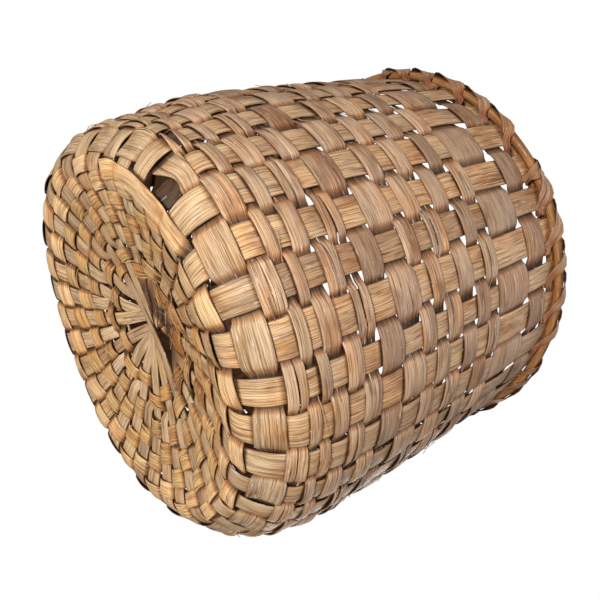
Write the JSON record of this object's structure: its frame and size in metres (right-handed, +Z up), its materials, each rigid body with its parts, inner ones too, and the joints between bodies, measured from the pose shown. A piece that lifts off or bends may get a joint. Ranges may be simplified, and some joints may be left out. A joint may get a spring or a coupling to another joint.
{
  "type": "woven splint basket",
  "caption": "Round open basket of woven wood splints: dished base, straight over-one-under-one wall and a lashed double-hoop rim; holds loose goods.",
  "frame": {"origin": "middle of the base, on the surface that the basket stands on", "axes": "+Z up along the basket's axis, from the base to the mouth; +X through a stake of the first long splint"},
  "size_m": [0.2652, 0.2652, 0.2272],
  "materials": {
    "stake_wood": "dry split wood",
    "base_row_wood": "dry split wood",
    "wall_row_wood": "dry split wood with fine dark grain",
    "hoop_wood": "worn round rod",
    "lashing_wood": "dry thin split wood"
  },
  "bodies": {
    "root": {"added_stake_1": "stake_wood", "added_stake_10": "stake_wood", "added_stake_11": "stake_wood", "added_stake_12": "stake_wood", "added_stake_13": "stake_wood", "added_stake_14": "stake_wood", "added_stake_15": "stake_wood", "added_stake_16": "stake_wood", "added_stake_17": "stake_wood", "added_stake_18": "stake_wood", "added_stake_2": "stake_wood", "added_stake_3": "stake_wood", "added_stake_4": "stake_wood", "added_stake_5": "stake_wood", "added_stake_6": "stake_wood", "added_stake_7": "stake_wood", "added_stake_8": "stake_wood", "added_stake_9": "stake_wood", "base_row_1": "base_row_wood", "base_row_2": "base_row_wood", "base_row_3": "base_row_wood", "base_row_4": "base_row_wood", "base_row_5": "base_row_wood", "base_row_6": "base_row_wood", "corner_row_1": "wall_row_wood", "corner_row_2": "wall_row_wood", "corner_row_3": "wall_row_wood", "inner_rim_hoop": "hoop_wood", "long_splint_1": "stake_wood", "long_splint_2": "stake_wood", "long_splint_3": "stake_wood", "long_splint_4": "stake_wood", "long_splint_5": "stake_wood", "long_splint_6": "stake_wood", "long_splint_7": "stake_wood", "long_splint_8": "stake_wood", "long_splint_9": "stake_wood", "outer_rim_hoop": "hoop_wood", "resting_row": "base_row_wood", "rim_lashing": "lashing_wood", "wall_row_1": "wall_row_wood", "wall_row_10": "wall_row_wood", "wall_row_11": "wall_row_wood", "wall_row_12": "wall_row_wood", "wall_row_13": "wall_row_wood", "wall_row_14": "wall_row_wood", "wall_row_2": "wall_row_wood", "wall_row_3": "wall_row_wood", "wall_row_4": "wall_row_wood", "wall_row_5": "wall_row_wood", "wall_row_6": "wall_row_wood", "wall_row_7": "wall_row_wood", "wall_row_8": "wall_row_wood", "wall_row_9": "wall_row_wood"}
  },
  "joints": []
}
